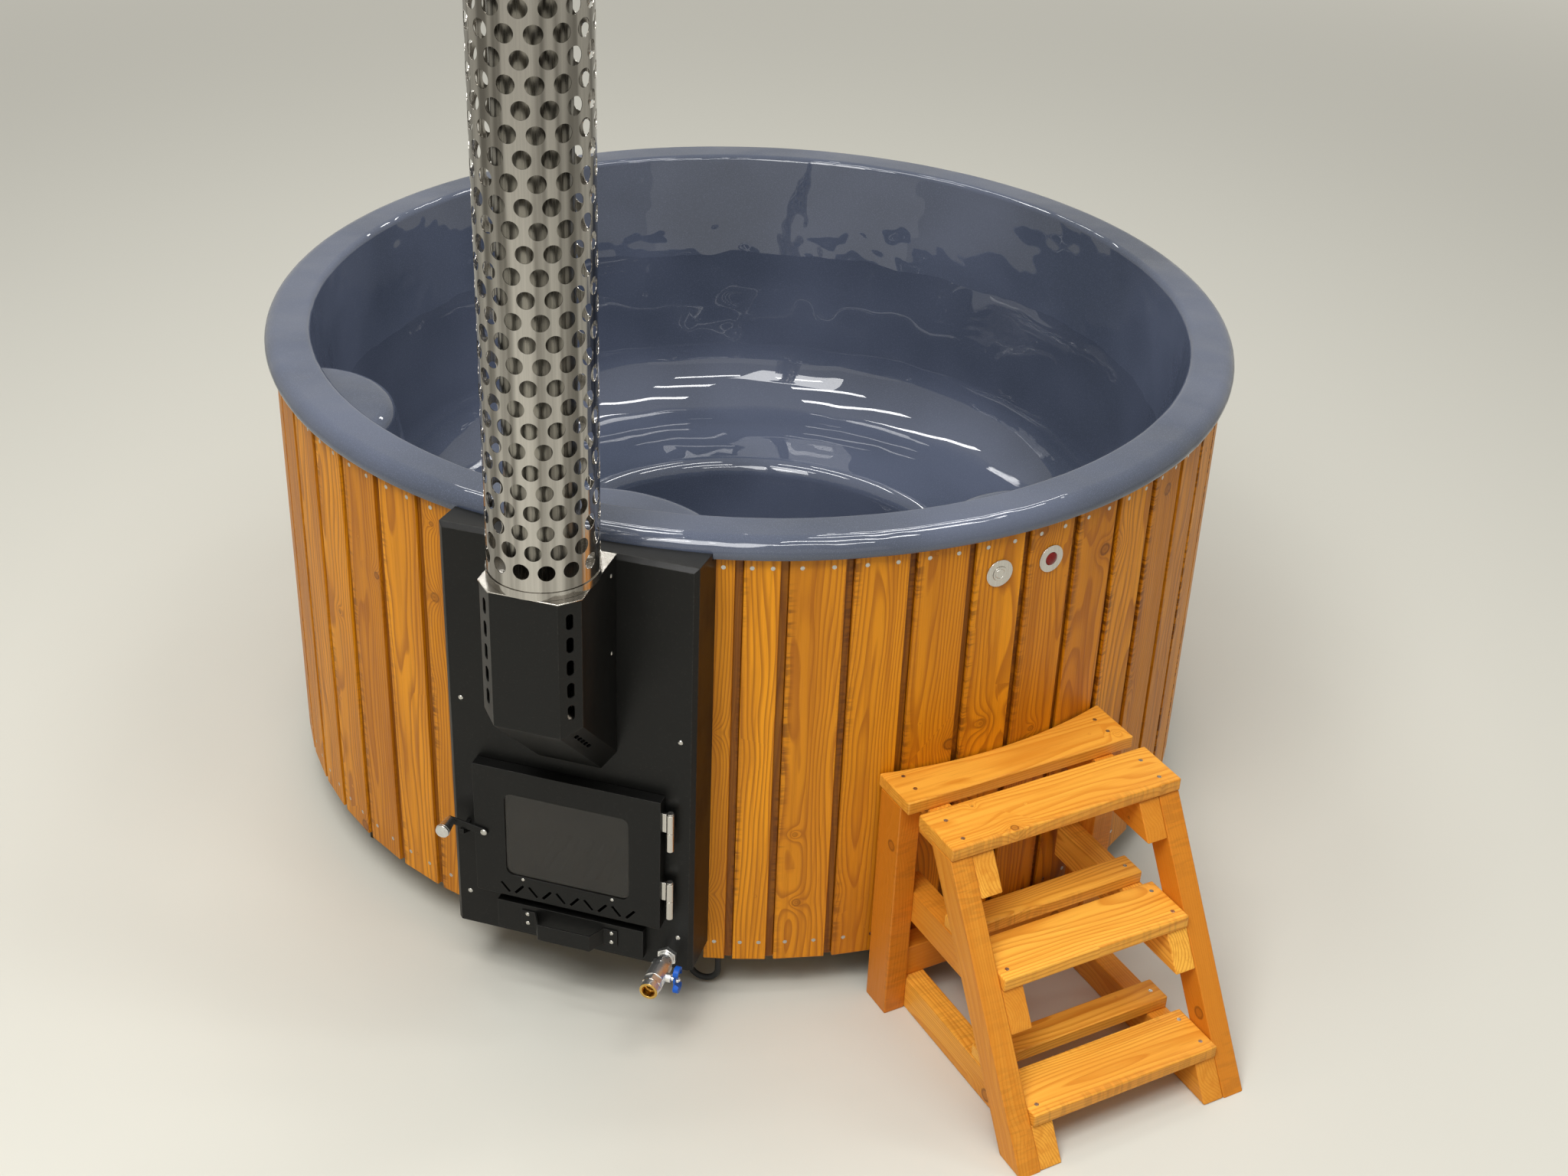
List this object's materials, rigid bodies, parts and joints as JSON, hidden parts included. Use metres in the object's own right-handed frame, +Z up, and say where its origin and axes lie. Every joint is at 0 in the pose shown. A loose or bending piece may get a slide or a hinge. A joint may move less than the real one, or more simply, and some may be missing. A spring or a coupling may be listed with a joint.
{
  "type": "hot tub",
  "caption": "Round hot tub with timber cladding, a moulded shell with bench, a built-in wood stove with door, ash drawer and chimney, a drain valve and loose wooden steps.",
  "frame": {"origin": "the tub's axis at the level of the ground, on the underside of the middle runner", "axes": "+Z up; -Y is the way the stove's panel faces; +X is to the right of a person who faces the stove; the steps stand at 45 degrees between -Y and +X"},
  "size_m": [2.2658, 2.2588, 3.1078],
  "materials": {
    "timber": "pressure-treated, sawn",
    "plywood": "bare",
    "frame_wood": "bare",
    "cladding_wood": "oiled thermo pine",
    "step_wood": "oiled, lighter than the boards",
    "screw_steel": "bright",
    "gel_coat": "glossy grey-blue with fine metallic flakes",
    "pipe_plastic": "plain",
    "nickel": "nickel-plated",
    "brass": "plain",
    "key_blue": "blue lacquer",
    "stainless": "brushed",
    "black_steel": "black heat-proof paint, satin",
    "chamber_steel": "bare plate, sooty",
    "jacket_steel": "plain sheet",
    "grate_iron": "rough",
    "fire_glass": "smoked ceramic glass",
    "gasket_rope": "graphite cord",
    "knob_alloy": "turned",
    "lens_red": "dark red, translucent",
    "box_grey": "plain",
    "cable_black": "matte"
  },
  "bodies": {
    "tub": {"base_runners": "timber", "base_deck": "plywood", "shell_seat": "plywood", "frame_studs": "frame_wood", "frame_hoops": "plywood", "cladding_boards": "cladding_wood", "board_screws": "screw_steel", "shell": "gel_coat", "drain_strainer": "stainless", "drain_pipe": "pipe_plastic", "valve_nipple": "nickel", "valve_body": "nickel", "valve_outlet": "brass", "stove_panel": "black_steel", "panel_screws": "screw_steel", "water_jacket": "jacket_steel", "fire_chamber": "chamber_steel", "fire_grate": "grate_iron", "flame_baffle": "chamber_steel", "ash_box": "chamber_steel", "flue_elbow": "stainless", "flue_cover": "black_steel", "cover_plate": "stainless", "flue_pipes": "stainless", "heat_guard": "stainless", "guard_rings": "stainless", "rain_cap": "stainless", "water_pipes": "stainless", "pipe_grilles": "stainless", "hinge_bases": "stainless", "hinge_pins": "stainless", "latch_catch": "black_steel", "button_bezel": "stainless", "indicator_bezel": "stainless", "indicator_lens": "lens_red", "terminal_box": "box_grey", "cable_loop": "cable_black"},
    "fire_door": {"door_pan": "black_steel", "door_glass": "fire_glass", "glass_gasket": "gasket_rope", "glass_frame": "black_steel", "glass_screws": "screw_steel", "door_knuckles": "stainless", "latch_screw": "screw_steel"},
    "door_latch": {"latch_lever": "black_steel", "latch_knob": "knob_alloy"},
    "ash_drawer": {"ash_tray": "chamber_steel", "ash_front": "black_steel", "ash_pull": "black_steel", "pull_screws": "screw_steel"},
    "valve_key": {"valve_ball": "nickel", "valve_stem": "nickel", "valve_handle": "key_blue", "valve_nut": "nickel"},
    "push_button": {"button_cap": "stainless"},
    "steps": {"step_sides": "step_wood", "step_treads": "step_wood", "step_bearers": "step_wood", "step_rail": "step_wood", "step_screws": "screw_steel"}
  },
  "joints": [
    {"name": "fire_door_hinge", "type": "hinge", "parent": "tub", "child": "fire_door", "pos_m": [0.19775, -1.064, 0.39], "axis": [0, 0, 1], "range_deg": [0, 110]},
    {"name": "latch_pivot", "type": "hinge", "parent": "fire_door", "child": "door_latch", "pos_m": [-0.162, -1.0755, 0.385], "axis": [0, 1, 0], "range_deg": [0, 70]},
    {"name": "ash_drawer_slide", "type": "slide", "parent": "tub", "child": "ash_drawer", "axis": [0, -1, 0], "range_m": [0, 0.2]},
    {"name": "valve_turn", "type": "hinge", "parent": "tub", "child": "valve_key", "pos_m": [0.19, -1.108, 0.167], "axis": [1, 0, 0], "range_deg": [0, 90]},
    {"name": "button_push", "type": "slide", "parent": "tub", "child": "push_button", "axis": [-0.6969, 0.7172, 0], "range_m": [0, 0.0015], "stiffness_N_per_m": 1200, "springref_m": -0.001},
    {"name": "steps_away", "type": "slide", "parent": "tub", "child": "steps", "axis": [0.7071, -0.7071, 0], "range_m": [0, 0.5]}
  ]
}
